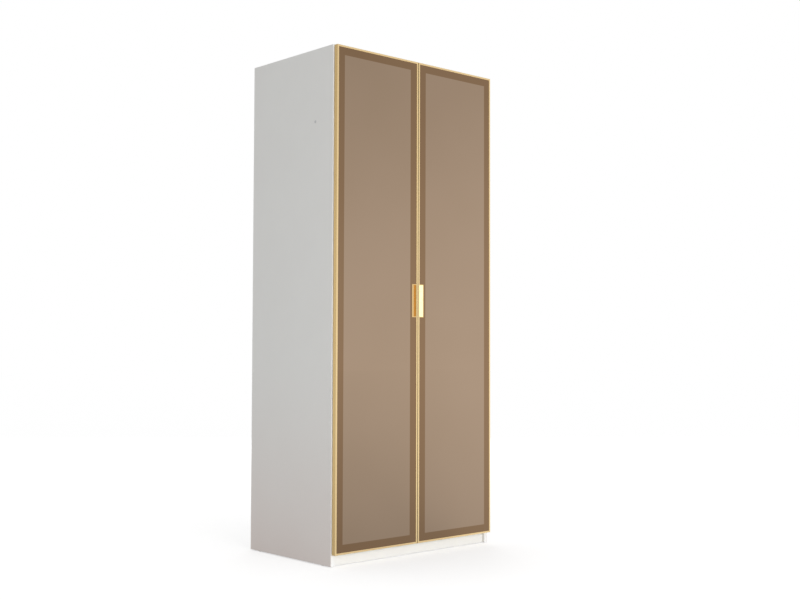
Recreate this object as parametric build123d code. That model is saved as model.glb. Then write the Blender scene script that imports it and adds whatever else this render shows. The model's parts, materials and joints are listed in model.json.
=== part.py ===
from build123d import *
import os

# A tall two-door wardrobe: melamine board carcass, two framed mirror doors on concealed hinges.
# Millimetres, X to the right, Y to the back, Z up. Modelled with the carcass front edge at y = 0,
# then moved so that the origin is at the bottom centre of the closed wardrobe.

# Carcass boards
WIDTH = 900.0
HEIGHT = 2100.0
CARCASS_DEPTH = 550.0
BOARD = 18.0
EDGE_RADIUS = 1.0
PLINTH_HEIGHT = 60.0
PLINTH_FLOOR_GAP = 2.0
KICK_RECESS = 15.0
SHELF_DROP = 300.0
SHELF_SETBACK = 25.0
SHELF_BACK_GAP = 2.0
WALL_RAIL_HEIGHT = 80.0
WALL_HOLE_RADIUS = 3.0
WALL_HOLE_SPACING = 600.0
WALL_WASHER_RADIUS = 7.0

# Back boards and the strip that joins them
BACK_BOARD = 5.0
BACK_BOTTOM = 20.0
GROOVE_DEPTH = 7.0
GROOVE_PLAY = 0.2
STRIP_WEB = 1.5
STRIP_FLANGE = 1.2
STRIP_WIDTH = 24.0
STRIP_END_GAP = 1.0
BACK_SCREW_RADIUS = 1.75
BACK_SCREW_GRIP = 16.0
BACK_SCREW_COUNT = 6

# Board fixings
FIT = 0.05
CAM_RADIUS = 7.5
CAM_DEPTH = 12.5
CAM_SETBACK = 24.0
CAM_SLOT_WIDTH = 1.8
CAM_SLOT_DEPTH = 1.5
CAM_EDGE_INSET = 60.0
BOLT_RADIUS = 3.0
BOLT_GRIP = 11.0
DOWEL_RADIUS = 4.0
DOWEL_IN_SIDE = 12.0
DOWEL_IN_BOARD = 18.0
DOWEL_END_GAP = 1.0
DOWEL_FROM_CAM = 64.0
SHELF_SCREW_INSET = 115.0
SHELF_SCREW_RADIUS = 3.5
SHELF_SCREW_LENGTH = 50.0
SHELF_SCREW_HEAD_RADIUS = 5.0
SHELF_SCREW_HEAD = 3.0
CAP_RADIUS = 6.3
CAP_THICKNESS = 0.8
CAP_STEM_RADIUS = 1.8
CAP_STEM = 2.0

# Feet and bumpers
GLIDE_HEIGHT = 3.0
GLIDE_RADIUS = 8.0
GLIDE_NAIL_RADIUS = 1.2
GLIDE_NAIL = 10.0
GLIDE_INSET = 60.0
BUMPER_RADIUS = 4.0
BUMPER_INSET = 100.0
BUMPER_AIR = 0.3

# Hanging rail
TUBE_HEIGHT = 30.0
TUBE_WIDTH = 15.0
TUBE_WALL = 1.2
TUBE_DROP = 51.0
TUBE_END_GAP = 0.4
SOCKET_PLATE = 3.0
SOCKET_HEIGHT = 66.0
SOCKET_WIDTH = 27.0
SOCKET_COLLAR = 12.0
SOCKET_WALL = 2.0
SOCKET_PLAY = 0.1
SOCKET_SCREW_SPACING = 50.0
SOCKET_SCREW_RADIUS = 1.75
SOCKET_SCREW_GRIP = 12.0

# Pan heads of the small screws
HEAD_RADIUS = 3.4
HEAD_HEIGHT = 1.2

# Door position
DOOR_THICKNESS = 20.0
DOOR_GAP = 4.0
SIDE_REVEAL = 3.0
TOP_REVEAL = 3.0
DOOR_BOTTOM = 50.0
MEETING_GAP = 3.0

# Door frame profile, u inwards from the door's edge and v backwards from its front
LIP_WIDTH = 7.5
LIP_THICKNESS = 1.5
LIP_RADIUS = 0.8
FRAME_WIDTH = 39.0
EDGE_WALL = 2.0
FRAME_WALL = 1.6
GLASS = 4.0
GLASS_PLAY = 0.1
GLASS_EDGE_PLAY = 0.5
TAPE = 0.4
TAPE_INSET = 4.0
BACKING = 3.0
BACKING_PLAY = 0.3
KEY_PLAY = 0.2
KEY_LEG = 70.0
KEY_SCREW_OFFSET = 54.0
KEY_SCREW_RADIUS = 2.0
KEY_SCREW_GRIP = 8.0

# Concealed hinges
HINGE_COUNT = 4
HINGE_END = 112.0
PIVOT_INSET = 6.5
PIVOT_DEPTH = 8.2
PIN_RADIUS = 1.5
PIN_FIT = 0.02
PIN_RUNNING_FIT = 0.05
PIN_SEAT = 2.0
KNUCKLE_RADIUS = 2.8
ARM_WIDTH = 18.0
ARM_THICKNESS = 2.5
ARM_DROP = 1.0
ARM_BEND_RADIUS = 3.0
ARM_REACH = 66.0
PLATE_THICKNESS = 3.2
PLATE_FRONT = 18.0
PLATE_LENGTH = 46.0
WING_LENGTH = 14.0
WING_SPAN = 52.0
PLATE_SCREW_INSET = 37.0
PLATE_SCREW_SPACING = 33.0
PLATE_SCREW_RADIUS = 3.0
PLATE_SCREW_GRIP = 11.0
PLATE_HEAD_RADIUS = 4.5
ARM_SCREW_INSET = 54.0
ARM_SCREW_RADIUS = 2.0
CUP_WALL = 1.0
CUP_END_WALL = 3.0
CUP_FLOOR = 0.8
CUP_POCKET_LENGTH = 40.0
CUP_POCKET_WIDTH = 24.0
CUP_PLAY = 0.2
EAR_THICKNESS = 1.2
EAR_LENGTH = 12.0
EAR_WIDTH = 12.0
EAR_INSET = 14.0
CUP_SCREW_RADIUS = 1.75
CUP_SCREW_GRIP = 7.0

# Recessed pull let into each meeting stile beside its lip
PULL_LENGTH = 140.0
PULL_FAR = 31.2
PULL_RIM = 1.6
PULL_RIM_THICKNESS = 0.6
PULL_RIM_ROUNDING = 0.3
PULL_WALL = 1.2
PULL_FLOOR = 1.8
PULL_DEPTH = 8.6
PULL_PLAY = 0.2
PULL_BOSS_INSET = 10.0
PULL_BOSS_RADIUS = 4.0
PULL_SCREW_SPACING = 90.0
PULL_SCREW_RADIUS = 2.0
PULL_SCREW_GRIP = 8.0

# Planes and levels that several pieces share, on the left half
OUTER_X = -WIDTH / 2
INNER_X = OUTER_X + BOARD
BACK_REAR = CARCASS_DEPTH - BOARD
BACK_FRONT = BACK_REAR - BACK_BOARD
TOP_UNDERSIDE = HEIGHT - BOARD
TOP_MID = HEIGHT - BOARD / 2
DECK_TOP = PLINTH_HEIGHT + BOARD
DECK_MID = PLINTH_HEIGHT + BOARD / 2
SHELF_MID = HEIGHT - SHELF_DROP
SHELF_UNDERSIDE = SHELF_MID - BOARD / 2
PLINTH_MID = (PLINTH_FLOOR_GAP + PLINTH_HEIGHT) / 2
KICK_BACK = KICK_RECESS + BOARD
WALL_RAIL_BOTTOM = TOP_UNDERSIDE - WALL_RAIL_HEIGHT
WALL_RAIL_MID = TOP_UNDERSIDE - WALL_RAIL_HEIGHT / 2
TUBE_Y = BACK_FRONT / 2
TUBE_Z = SHELF_UNDERSIDE - TUBE_DROP

DOOR_LEFT = OUTER_X + SIDE_REVEAL
DOOR_RIGHT = -MEETING_GAP / 2
DOOR_TOP = HEIGHT - TOP_REVEAL
DOOR_BACK = -DOOR_GAP
DOOR_FRONT = DOOR_BACK - DOOR_THICKNESS
DOOR_WIDTH = DOOR_RIGHT - DOOR_LEFT
DOOR_HEIGHT = DOOR_TOP - DOOR_BOTTOM
DOOR_MID = (DOOR_TOP + DOOR_BOTTOM) / 2
GLASS_FRONT_V = LIP_THICKNESS + GLASS_PLAY
GLASS_BACK_V = GLASS_FRONT_V + GLASS
SEAT_V = GLASS_BACK_V + TAPE
CHAMBER_FRONT_V = SEAT_V + FRAME_WALL
CHAMBER_BACK_V = DOOR_THICKNESS - FRAME_WALL
PIVOT_X = DOOR_LEFT + PIVOT_INSET
PIVOT_Y = DOOR_BACK - PIVOT_DEPTH
HINGE_STEP = (DOOR_HEIGHT - 2 * HINGE_END) / (HINGE_COUNT - 1)
HINGE_LEVELS = [DOOR_BOTTOM + HINGE_END + i * HINGE_STEP for i in range(HINGE_COUNT)]
ARM_INNER_X = INNER_X + PLATE_THICKNESS
ARM_OUTER_X = ARM_INNER_X + ARM_THICKNESS
CUP_LEFT = DOOR_LEFT + EDGE_WALL + CUP_PLAY
CUP_RIGHT = CUP_LEFT + CUP_POCKET_WIDTH + 2 * CUP_WALL
CUP_FRONT = DOOR_FRONT + CHAMBER_FRONT_V
CUP_HALF = CUP_POCKET_LENGTH / 2 + CUP_END_WALL
EAR_MID_X = DOOR_LEFT + EAR_INSET + EAR_WIDTH / 2
CUP_SCREW_OFFSET = CUP_HALF + EAR_LENGTH / 2
PULL_NEAR_U = EDGE_WALL + PULL_PLAY
PULL_BODY_U = PULL_FAR - PULL_RIM
PULL_FACE_V = GLASS_FRONT_V - PULL_RIM_THICKNESS
PULL_HALF = PULL_LENGTH / 2
PULL_BODY_HALF = PULL_HALF - PULL_RIM
PULL_BOSS_X = DOOR_RIGHT - PULL_BOSS_INSET
PULL_BOSS_LEVELS = [DOOR_MID + sign * PULL_SCREW_SPACING / 2 for sign in (-1, 1)]

SLACK = 1.0
X_AXIS = (1, 0, 0)
Y_AXIS = (0, 1, 0)
Z_AXIS = (0, 0, 1)
TO_LEFT = (-1, 0, 0)
TO_FRONT = (0, -1, 0)
DOWN = (0, 0, -1)


def block(x, y, z):
    """A box between the two ends given along each axis."""
    size = [end - start for start, end in (x, y, z)]
    middle = [(start + end) / 2 for start, end in (x, y, z)]
    return Pos(*middle) * Box(*size)


def rod(radius, start, direction, length):
    """A round bar from a point, along a direction."""
    bar = Cylinder(radius, length, align=(Align.CENTER, Align.CENTER, Align.MIN))
    return Plane(origin=start, z_dir=direction) * bar


def pan_screw(radius, seat, direction, grip, head_radius=HEAD_RADIUS):
    """A pan-head screw with its head on the seat and its shank along the direction."""
    away = [-step for step in direction]
    return rod(radius, seat, direction, grip) + rod(head_radius, seat, away, HEAD_HEIGHT)


def both_sides(pieces):
    """The left-hand pieces and their mirror images."""
    left = list(pieces)
    return left + [mirror(piece, about=Plane.YZ) for piece in left]


def group(pieces):
    """Separate solids that share one node."""
    return Compound([solid for piece in pieces for solid in piece.solids()])


def board(x, y, z, rounded_axis):
    """A board whose front edges along one axis have a small radius."""
    panel = block(x, y, z)
    edges = panel.edges().filter_by(rounded_axis).sort_by(Axis.Y)[:2]
    return fillet(edges, EDGE_RADIUS)


# Places of the fixings, as (y, z) on the left side panel
REAR_CAM_Y = BACK_FRONT - CAM_EDGE_INSET
CAM_SITES = [(y, z) for z in (TOP_MID, DECK_MID) for y in (CAM_EDGE_INSET, REAR_CAM_Y)]
DOWEL_SITES = [
    *[(y + shift, z) for z in (TOP_MID, DECK_MID)
      for y, shift in ((CAM_EDGE_INSET, DOWEL_FROM_CAM), (REAR_CAM_Y, -DOWEL_FROM_CAM))],
    (CAM_EDGE_INSET, SHELF_MID),
    (BACK_FRONT - SHELF_SCREW_INSET, SHELF_MID),
    (KICK_RECESS + BOARD / 2, PLINTH_MID),
    (BACK_FRONT - BOARD / 2, PLINTH_MID),
    (CARCASS_DEPTH - BOARD / 2, WALL_RAIL_MID - WALL_RAIL_HEIGHT / 4),
    (CARCASS_DEPTH - BOARD / 2, WALL_RAIL_MID + WALL_RAIL_HEIGHT / 4),
]
PLATE_SCREW_SITES = [(PLATE_SCREW_INSET, z + sign * PLATE_SCREW_SPACING / 2)
                     for z in HINGE_LEVELS for sign in (-1, 1)]
SOCKET_SCREW_SITES = [(TUBE_Y, TUBE_Z + sign * SOCKET_SCREW_SPACING / 2) for sign in (-1, 1)]
SIDE_MID_X = OUTER_X + BOARD / 2
GLIDE_SITES = [
    *[(x, y) for x in (SIDE_MID_X, -SIDE_MID_X) for y in (GLIDE_INSET, CARCASS_DEPTH - GLIDE_INSET)],
    (0, KICK_BACK + GLIDE_INSET),
    (0, BACK_FRONT - BOARD - GLIDE_INSET),
]
CAP_SEAT = (OUTER_X, SHELF_SCREW_INSET, SHELF_MID)


# Fixings of the boards, and the holes they sit in
def dowels(play=0.0, end_gap=0.0):
    length = DOWEL_IN_SIDE + DOWEL_IN_BOARD + 2 * end_gap
    start = INNER_X - DOWEL_IN_SIDE - end_gap
    return both_sides(rod(DOWEL_RADIUS + play, (start, y, z), X_AXIS, length) for y, z in DOWEL_SITES)


def cam_bolts(play=0.0, end_gap=0.0):
    start = INNER_X - BOLT_GRIP - end_gap
    length = BOLT_GRIP + CAM_SETBACK + 2 * end_gap
    return both_sides(rod(BOLT_RADIUS + play, (start, y, z), X_AXIS, length) for y, z in CAM_SITES)


def cam_pockets(play=0.0):
    x = INNER_X + CAM_SETBACK
    return both_sides(rod(CAM_RADIUS + play, (x, y, z - BOARD / 2), Z_AXIS, CAM_DEPTH + play)
                      for y, z in CAM_SITES)


def cam_discs():
    slots = both_sides(
        Pos(INNER_X + CAM_SETBACK, y, z - BOARD / 2)
        * Box(2 * CAM_RADIUS, CAM_SLOT_WIDTH, 2 * CAM_SLOT_DEPTH) for y, z in CAM_SITES)
    bolts = cam_bolts(FIT, DOWEL_END_GAP)
    return group(disc - [slot, bolt] for disc, slot, bolt in zip(cam_pockets(), slots, bolts))


def shelf_screw(play=0.0, end_gap=0.0):
    """Left-hand connecting screw, its head flush with the outside of the side panel."""
    shank = rod(SHELF_SCREW_RADIUS + play, CAP_SEAT, X_AXIS, SHELF_SCREW_LENGTH + end_gap)
    return shank + rod(SHELF_SCREW_HEAD_RADIUS + play, CAP_SEAT, X_AXIS, SHELF_SCREW_HEAD)


def shelf_screws():
    socket = rod(CAP_STEM_RADIUS + FIT, CAP_SEAT, X_AXIS, CAP_STEM + FIT)
    return group(both_sides([shelf_screw() - socket]))


def screw_caps():
    disc = rod(CAP_RADIUS, CAP_SEAT, TO_LEFT, CAP_THICKNESS)
    rim = disc.edges().sort_by(Axis.X)[0]
    disc = fillet(rim, CAP_THICKNESS / 2)
    return group(both_sides([disc + rod(CAP_STEM_RADIUS, CAP_SEAT, X_AXIS, CAP_STEM)]))


def glide(x, y, play=0.0):
    """A round foot with a nail that goes up into the board above it."""
    foot = rod(GLIDE_RADIUS, (x, y, 0), Z_AXIS, GLIDE_HEIGHT)
    return foot + rod(GLIDE_NAIL_RADIUS + play, (x, y, 0), Z_AXIS, GLIDE_HEIGHT + GLIDE_NAIL + play)


def glides(play=0.0):
    return [glide(x, y, play) for x, y in GLIDE_SITES]


BOARD_HOLES = [
    *dowels(FIT, DOWEL_END_GAP),
    *cam_bolts(FIT, DOWEL_END_GAP),
    *cam_pockets(FIT),
    *both_sides([shelf_screw(FIT, DOWEL_END_GAP)]),
]


def drilled(panel, holes=()):
    """The panel without the fixing holes that reach it."""
    box = panel.bounding_box()
    near = [hole for hole in [*BOARD_HOLES, *holes] if box.overlaps(hole.bounding_box())]
    return panel - near if near else panel


# Carcass
def side_panel():
    panel = board((OUTER_X, INNER_X), (0, CARCASS_DEPTH), (GLIDE_HEIGHT, HEIGHT), Axis.Z)
    groove = block((INNER_X - GROOVE_DEPTH, INNER_X + SLACK),
                   (BACK_FRONT - GROOVE_PLAY, BACK_REAR + GROOVE_PLAY),
                   (BACK_BOTTOM - GROOVE_PLAY, TOP_UNDERSIDE + GROOVE_DEPTH))
    plate_holes = [rod(PLATE_SCREW_RADIUS + FIT, (INNER_X, y, z), TO_LEFT, PLATE_SCREW_GRIP + DOWEL_END_GAP)
                   for y, z in PLATE_SCREW_SITES]
    socket_holes = [rod(SOCKET_SCREW_RADIUS + FIT, (INNER_X, y, z), TO_LEFT,
                        SOCKET_SCREW_GRIP + DOWEL_END_GAP) for y, z in SOCKET_SCREW_SITES]
    return drilled(panel, [groove, *plate_holes, *socket_holes, *glides(FIT)])


def spanning(y, z):
    """A board from one side panel to the other, with its front edges rounded."""
    return board((INNER_X, -INNER_X), y, z, Axis.X)


def top_panel():
    panel = spanning((0, CARCASS_DEPTH), (TOP_UNDERSIDE, HEIGHT))
    groove = block((INNER_X, -INNER_X), (BACK_FRONT - GROOVE_PLAY, BACK_REAR + GROOVE_PLAY),
                   (TOP_UNDERSIDE - SLACK, TOP_UNDERSIDE + GROOVE_DEPTH))
    return drilled(panel, [groove])


def bottom_panel():
    return drilled(spanning((0, BACK_FRONT), (PLINTH_HEIGHT, DECK_TOP)), back_screws(FIT))


def hat_shelf():
    depth = (SHELF_SETBACK, BACK_FRONT - SHELF_BACK_GAP)
    return drilled(spanning(depth, (SHELF_UNDERSIDE, SHELF_UNDERSIDE + BOARD)))


def kickboard():
    return drilled(spanning((KICK_RECESS, KICK_BACK), (PLINTH_FLOOR_GAP, PLINTH_HEIGHT)))


def rear_plinth_rail():
    rail = block((INNER_X, -INNER_X), (BACK_FRONT - BOARD, BACK_FRONT), (PLINTH_FLOOR_GAP, PLINTH_HEIGHT))
    return drilled(rail)


def plinth_support():
    panel = block((-BOARD / 2, BOARD / 2), (KICK_BACK, BACK_FRONT - BOARD), (GLIDE_HEIGHT, PLINTH_HEIGHT))
    return drilled(panel, glides(FIT))


def wall_screw_holes(radius):
    places = [(sign * WALL_HOLE_SPACING / 2, BACK_FRONT - SLACK, WALL_RAIL_MID) for sign in (-1, 1)]
    return [rod(radius, place, Y_AXIS, BACK_BOARD + BOARD + 2 * SLACK) for place in places]


def rear_top_rail():
    rail = block((INNER_X, -INNER_X), (BACK_REAR, CARCASS_DEPTH), (WALL_RAIL_BOTTOM, TOP_UNDERSIDE))
    return drilled(rail, wall_screw_holes(WALL_HOLE_RADIUS))


def back_screws(play=0.0):
    """Small screws through the lower edge of the back boards into the deck."""
    pitch = 2 * -INNER_X / BACK_SCREW_COUNT
    places = [(INNER_X + pitch * (i + 0.5), BACK_REAR, DECK_MID) for i in range(BACK_SCREW_COUNT)]
    length = BACK_BOARD + BACK_SCREW_GRIP
    return [pan_screw(BACK_SCREW_RADIUS + play, place, TO_FRONT, length) for place in places]


def back_panel():
    """Left half of the back, in the grooves of the side and the top, behind the deck."""
    panel = block((INNER_X - GROOVE_DEPTH + GROOVE_PLAY, -STRIP_WEB / 2 - GROOVE_PLAY),
                  (BACK_FRONT, BACK_REAR),
                  (BACK_BOTTOM, TOP_UNDERSIDE + GROOVE_DEPTH - GROOVE_PLAY))
    return panel - back_screws(FIT) - wall_screw_holes(WALL_WASHER_RADIUS)


def back_joint_strip():
    """H-section that holds the inner edges of both back boards."""
    height = (DECK_TOP + STRIP_END_GAP, WALL_RAIL_BOTTOM - STRIP_END_GAP)
    web = block((-STRIP_WEB / 2, STRIP_WEB / 2), (BACK_FRONT, BACK_REAR), height)
    flange = (-STRIP_WIDTH / 2, STRIP_WIDTH / 2)
    front = block(flange, (BACK_FRONT - STRIP_FLANGE, BACK_FRONT), height)
    rear = block(flange, (BACK_REAR, BACK_REAR + STRIP_FLANGE), height)
    return web + front + rear


def door_bumpers():
    thickness = DOOR_GAP - BUMPER_AIR
    pads = [rod(BUMPER_RADIUS, (-BUMPER_INSET, 0, z), TO_FRONT, thickness) for z in (TOP_MID, DECK_MID)]
    return group(both_sides(fillet(pad.edges().sort_by(Axis.Y)[0], thickness / 3) for pad in pads))


# Hanging rail
def oval(x, length, grow=0.0):
    """An upright oval bar along X."""
    section = SlotOverall(TUBE_HEIGHT + 2 * grow, TUBE_WIDTH + 2 * grow)
    return Plane(origin=(x, TUBE_Y, TUBE_Z), x_dir=Z_AXIS, z_dir=X_AXIS) * extrude(section, amount=length)


def hanging_rail():
    start = INNER_X + SOCKET_PLATE + TUBE_END_GAP
    length = -2 * start
    return oval(start, length) - oval(start, length, -TUBE_WALL)


def rail_sockets():
    foot = Plane(origin=(INNER_X, TUBE_Y, TUBE_Z), x_dir=Z_AXIS, z_dir=X_AXIS) * extrude(
        SlotOverall(SOCKET_HEIGHT, SOCKET_WIDTH), amount=SOCKET_PLATE)
    collar = oval(INNER_X, SOCKET_COLLAR, SOCKET_WALL + SOCKET_PLAY)
    mouth = oval(INNER_X + SOCKET_PLATE, SOCKET_COLLAR, SOCKET_PLAY)
    holes = [rod(SOCKET_SCREW_RADIUS + FIT, (INNER_X, y, z), X_AXIS, SOCKET_PLATE)
             for y, z in SOCKET_SCREW_SITES]
    return group(both_sides([foot + collar - mouth - holes]))


def rail_socket_screws():
    seat = INNER_X + SOCKET_PLATE
    length = SOCKET_PLATE + SOCKET_SCREW_GRIP
    return group(both_sides(pan_screw(SOCKET_SCREW_RADIUS, (seat, y, z), TO_LEFT, length)
                            for y, z in SOCKET_SCREW_SITES))


# Hinge pieces on the carcass, left side
def hinge_plate(level):
    base = block((INNER_X, ARM_INNER_X), (PLATE_FRONT, PLATE_FRONT + PLATE_LENGTH),
                 (level - ARM_WIDTH / 2, level + ARM_WIDTH / 2))
    wings = block((INNER_X, ARM_INNER_X),
                  (PLATE_SCREW_INSET - WING_LENGTH / 2, PLATE_SCREW_INSET + WING_LENGTH / 2),
                  (level - WING_SPAN / 2, level + WING_SPAN / 2))
    wings = fillet(wings.edges().filter_by(Axis.X), WING_LENGTH / 3)
    holes = [rod(PLATE_SCREW_RADIUS + FIT, (INNER_X, y, z), X_AXIS, PLATE_THICKNESS)
             for y, z in PLATE_SCREW_SITES]
    screw = rod(ARM_SCREW_RADIUS + FIT, (INNER_X, ARM_SCREW_INSET, level), X_AXIS, PLATE_THICKNESS)
    return base + wings - [*holes, screw]


def hinge_plate_screws():
    length = PLATE_THICKNESS + PLATE_SCREW_GRIP
    return group(both_sides(
        pan_screw(PLATE_SCREW_RADIUS, (ARM_INNER_X, y, z), TO_LEFT, length, PLATE_HEAD_RADIUS)
        for y, z in PLATE_SCREW_SITES))


def hinge_arm(level):
    """Gooseneck from the pin's knuckle, round the door's edge and back along the plate."""
    low_y = PIVOT_Y - ARM_DROP - ARM_THICKNESS / 2
    neck = Polygon(
        (PIVOT_X, low_y), (ARM_OUTER_X, low_y), (ARM_OUTER_X, ARM_REACH), (ARM_INNER_X, ARM_REACH),
        (ARM_INNER_X, low_y + ARM_THICKNESS), (PIVOT_X, low_y + ARM_THICKNESS), align=None)
    bend = neck.vertices().sort_by_distance((ARM_OUTER_X, low_y, 0))[0]
    neck = fillet(bend, ARM_BEND_RADIUS)
    section = neck + Pos(PIVOT_X, PIVOT_Y) * Circle(KNUCKLE_RADIUS)
    section -= Pos(PIVOT_X, PIVOT_Y) * Circle(PIN_RADIUS + PIN_RUNNING_FIT)
    arm = Pos(0, 0, level - ARM_WIDTH / 2) * extrude(section, amount=ARM_WIDTH)
    hole = rod(ARM_SCREW_RADIUS + FIT, (ARM_INNER_X, ARM_SCREW_INSET, level), X_AXIS, ARM_THICKNESS)
    return arm - hole


def hinge_arm_screws():
    length = ARM_THICKNESS + PLATE_THICKNESS
    return group(both_sides(
        pan_screw(ARM_SCREW_RADIUS, (ARM_OUTER_X, ARM_SCREW_INSET, level), TO_LEFT, length)
        for level in HINGE_LEVELS))


# Left door
def frame_bar(length):
    """A mitred length of the hollow frame profile, along +Z from the origin."""
    outline = Polygon(
        (0, 0), (LIP_WIDTH, 0), (LIP_WIDTH, LIP_THICKNESS), (EDGE_WALL, LIP_THICKNESS), (EDGE_WALL, SEAT_V),
        (FRAME_WIDTH, SEAT_V), (FRAME_WIDTH, DOOR_THICKNESS), (0, DOOR_THICKNESS), align=None)
    shown = ((0, 0, 0), (LIP_WIDTH, 0, 0), (0, DOOR_THICKNESS, 0))
    outline = fillet([outline.vertices().sort_by_distance(point)[0] for point in shown], LIP_RADIUS)
    chamber = Polygon(
        (EDGE_WALL, CHAMBER_FRONT_V), (FRAME_WIDTH - FRAME_WALL, CHAMBER_FRONT_V),
        (FRAME_WIDTH - FRAME_WALL, CHAMBER_BACK_V), (EDGE_WALL, CHAMBER_BACK_V), align=None)
    bar = extrude(outline - chamber, amount=length)
    mitred = Polygon((0, 0), (FRAME_WIDTH, FRAME_WIDTH), (FRAME_WIDTH, length - FRAME_WIDTH), (0, length),
                     align=None)
    keep = Plane.XZ * extrude(mitred, amount=-DOOR_THICKNESS)
    return bar & keep


def corner_key_screws(play=0.0):
    """Screws through the back of the frame, two in each corner key."""
    middle = FRAME_WIDTH / 2
    length = FRAME_WALL + KEY_SCREW_GRIP
    places = []
    for x, to_x in ((DOOR_LEFT, 1), (DOOR_RIGHT, -1)):
        for z, to_z in ((DOOR_BOTTOM, 1), (DOOR_TOP, -1)):
            places.append((x + to_x * middle, DOOR_BACK, z + to_z * KEY_SCREW_OFFSET))
            places.append((x + to_x * KEY_SCREW_OFFSET, DOOR_BACK, z + to_z * middle))
    return [pan_screw(KEY_SCREW_RADIUS + play, place, TO_FRONT, length) for place in places]


def cup_screws(play=0.0):
    length = EAR_THICKNESS + CUP_SCREW_GRIP
    places = [(EAR_MID_X, DOOR_BACK + EAR_THICKNESS, level + sign * CUP_SCREW_OFFSET)
              for level in HINGE_LEVELS for sign in (-1, 1)]
    return [pan_screw(CUP_SCREW_RADIUS + play, place, TO_FRONT, length) for place in places]


def pull_screws(play=0.0):
    """Screws through the back of the meeting stile into the pull's bosses."""
    length = FRAME_WALL + PULL_SCREW_GRIP
    return [pan_screw(PULL_SCREW_RADIUS + play, (PULL_BOSS_X, DOOR_BACK, level), TO_FRONT, length)
            for level in PULL_BOSS_LEVELS]


def pull_bar(points, half):
    """A section at the meeting stile, in u and v, carried up and down from the door's middle."""
    plane = Plane(origin=(DOOR_RIGHT, DOOR_FRONT, DOOR_MID), x_dir=TO_LEFT, z_dir=DOWN)
    return plane * extrude(Polygon(*points, align=None), amount=half, both=True)


def pull_notch():
    """The room for the pull's body in the mirror, the tape and the stile's front wall."""
    far = PULL_BODY_U + PULL_PLAY
    back = CHAMBER_FRONT_V + SLACK
    points = ((EDGE_WALL, LIP_THICKNESS), (far, LIP_THICKNESS), (far, back), (EDGE_WALL, back))
    return pull_bar(points, PULL_BODY_HALF + PULL_PLAY)


def hinge_stile():
    plane = Plane(origin=(DOOR_LEFT, DOOR_FRONT, DOOR_BOTTOM), x_dir=X_AXIS, z_dir=Z_AXIS)
    stile = plane * frame_bar(DOOR_HEIGHT)
    across = (CUP_LEFT - CUP_PLAY, CUP_RIGHT + CUP_PLAY)
    through = (DOOR_BACK - FRAME_WALL - SLACK, DOOR_BACK + SLACK)
    half = CUP_HALF + CUP_PLAY
    windows = [block(across, through, (level - half, level + half)) for level in HINGE_LEVELS]
    return stile - [*windows, *cup_screws(FIT), *corner_key_screws(FIT)]


def meeting_stile():
    plane = Plane(origin=(DOOR_RIGHT, DOOR_FRONT, DOOR_TOP), x_dir=TO_LEFT, z_dir=DOWN)
    return plane * frame_bar(DOOR_HEIGHT) - [pull_notch(), *pull_screws(FIT), *corner_key_screws(FIT)]


def top_rail():
    plane = Plane(origin=(DOOR_LEFT, DOOR_FRONT, DOOR_TOP), x_dir=DOWN, z_dir=X_AXIS)
    return plane * frame_bar(DOOR_WIDTH) - corner_key_screws(FIT)


def bottom_rail():
    plane = Plane(origin=(DOOR_RIGHT, DOOR_FRONT, DOOR_BOTTOM), x_dir=Z_AXIS, z_dir=TO_LEFT)
    return plane * frame_bar(DOOR_WIDTH) - corner_key_screws(FIT)


def sheet(inset, front_v, thickness):
    """A flat sheet of the door's size less an inset all round."""
    return block((DOOR_LEFT + inset, DOOR_RIGHT - inset),
                 (DOOR_FRONT + front_v, DOOR_FRONT + front_v + thickness),
                 (DOOR_BOTTOM + inset, DOOR_TOP - inset))


def mirror_pane():
    return sheet(EDGE_WALL + GLASS_EDGE_PLAY, GLASS_FRONT_V, GLASS) - pull_notch()


def glazing_tape():
    inside = FRAME_WIDTH - TAPE_INSET
    return sheet(TAPE_INSET, GLASS_BACK_V, TAPE) - [sheet(inside, GLASS_BACK_V, TAPE), pull_notch()]


def mirror_backing():
    return sheet(FRAME_WIDTH + BACKING_PLAY, GLASS_BACK_V, BACKING)


def corner_keys():
    near = EDGE_WALL + KEY_PLAY
    far = FRAME_WIDTH - FRAME_WALL - KEY_PLAY
    elbow = Polygon((near, near), (KEY_LEG, near), (KEY_LEG, far), (far, far), (far, KEY_LEG),
                    (near, KEY_LEG), align=None)
    depth = CHAMBER_BACK_V - CHAMBER_FRONT_V - 2 * KEY_PLAY
    front = DOOR_FRONT + CHAMBER_FRONT_V + KEY_PLAY
    key = Plane.XZ * extrude(elbow, amount=-depth)
    lower_left = Pos(DOOR_LEFT, front, DOOR_BOTTOM) * key
    upper_left = Pos(DOOR_LEFT, front, DOOR_TOP) * mirror(key, about=Plane.XY)
    lower_right = Pos(DOOR_RIGHT, front, DOOR_BOTTOM) * mirror(key, about=Plane.YZ)
    upper_right = Pos(DOOR_RIGHT, front, DOOR_TOP) * mirror(mirror(key, about=Plane.XY), about=Plane.YZ)
    holes = corner_key_screws(FIT)
    return group(piece - holes for piece in (lower_left, upper_left, lower_right, upper_right))


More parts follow.
